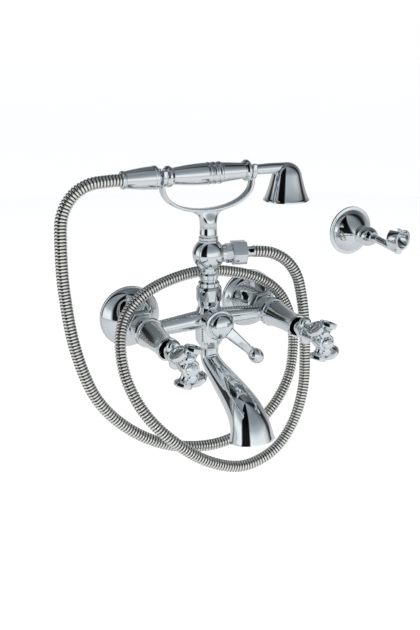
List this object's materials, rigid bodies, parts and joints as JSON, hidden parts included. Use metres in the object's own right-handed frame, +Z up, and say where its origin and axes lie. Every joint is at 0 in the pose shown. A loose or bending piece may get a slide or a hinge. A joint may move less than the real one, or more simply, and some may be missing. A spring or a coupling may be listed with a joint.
{
  "type": "bath shower mixer",
  "caption": "Wall bath shower mixer with cross handles, flared spout, lever diverter, cradle with telephone handset on a ribbed metal hose, and a wall bracket with a swivel clip.",
  "frame": {"origin": "on the wall plane, midway between the two inlet stubs", "axes": "+X to the right seen from the front (cold side), +Y into the wall, +Z up; the front faces -Y"},
  "size_m": [0.4157, 0.193, 0.3364],
  "materials": {
    "chrome": "polished chrome plating",
    "hose": "bright stainless steel strip",
    "rubber": "matt black rubber",
    "ceramic": "lapped ceramic",
    "brass": "bare machined brass",
    "steel": "plain steel"
  },
  "bodies": {
    "mixer": {"hot_flange": "chrome", "cold_flange": "chrome", "hot_union": "chrome", "cold_union": "chrome", "hot_union_nut": "chrome", "cold_union_nut": "chrome", "hot_washer": "rubber", "cold_washer": "rubber", "mixer_body": "chrome", "hot_cartridge": "brass", "cold_cartridge": "brass", "hot_fixed_disc": "ceramic", "cold_fixed_disc": "ceramic", "hot_shroud": "chrome", "cold_shroud": "chrome", "diverter_bonnet": "chrome", "spout_nipple": "brass", "spout": "chrome", "spout_screw": "steel", "column_ball": "chrome", "column_seal": "rubber", "hose_outlet": "chrome", "outlet_washer": "rubber", "hose_nut": "chrome", "hose_ferrule": "chrome", "hose": "hose", "cradle_collar": "chrome", "cradle": "chrome", "bracket_plate": "steel", "bracket_screws": "brass", "bracket_flange": "chrome", "swivel_nut": "chrome"},
    "hot_knob": {"hot_turning_disc": "ceramic", "hot_spindle": "brass", "hot_handle": "chrome", "hot_handle_screw": "steel", "hot_handle_cap": "chrome"},
    "cold_knob": {"cold_turning_disc": "ceramic", "cold_spindle": "brass", "cold_handle": "chrome", "cold_handle_screw": "steel", "cold_handle_cap": "chrome"},
    "diverter": {"diverter_spindle": "brass", "diverter_plug": "rubber", "diverter_lever": "chrome", "lever_knob": "chrome", "lever_screw": "steel"},
    "handset": {"cone_nut": "chrome", "handset_ferrule": "chrome", "handset_washer": "rubber", "handset_tail": "chrome", "handset_grip": "chrome", "handset_ring": "chrome", "handset_head": "chrome", "spray_face": "chrome", "spray_screw": "chrome"},
    "bracket_holder": {"bracket_arm": "chrome"}
  },
  "joints": [
    {"name": "hot_turn", "type": "hinge", "parent": "mixer", "child": "hot_knob", "pos_m": [-0.075, -0.12, 0], "axis": [0, -1, 0], "range_deg": [0, 90]},
    {"name": "cold_turn", "type": "hinge", "parent": "mixer", "child": "cold_knob", "pos_m": [0.075, -0.12, 0], "axis": [0, 1, 0], "range_deg": [0, 90]},
    {"name": "diverter_turn", "type": "hinge", "parent": "mixer", "child": "diverter", "pos_m": [0, -0.08, 0.0015], "axis": [0, -1, 0], "range_deg": [0, 90]},
    {"name": "handset_lift", "type": "slide", "parent": "mixer", "child": "handset", "axis": [0, 0, 1], "range_m": [0, 0.04]},
    {"name": "bracket_swivel", "type": "hinge", "parent": "mixer", "child": "bracket_holder", "pos_m": [0.219, -0.04, 0.067], "axis": [0, 1, 0], "range_deg": [-60, 60]}
  ]
}
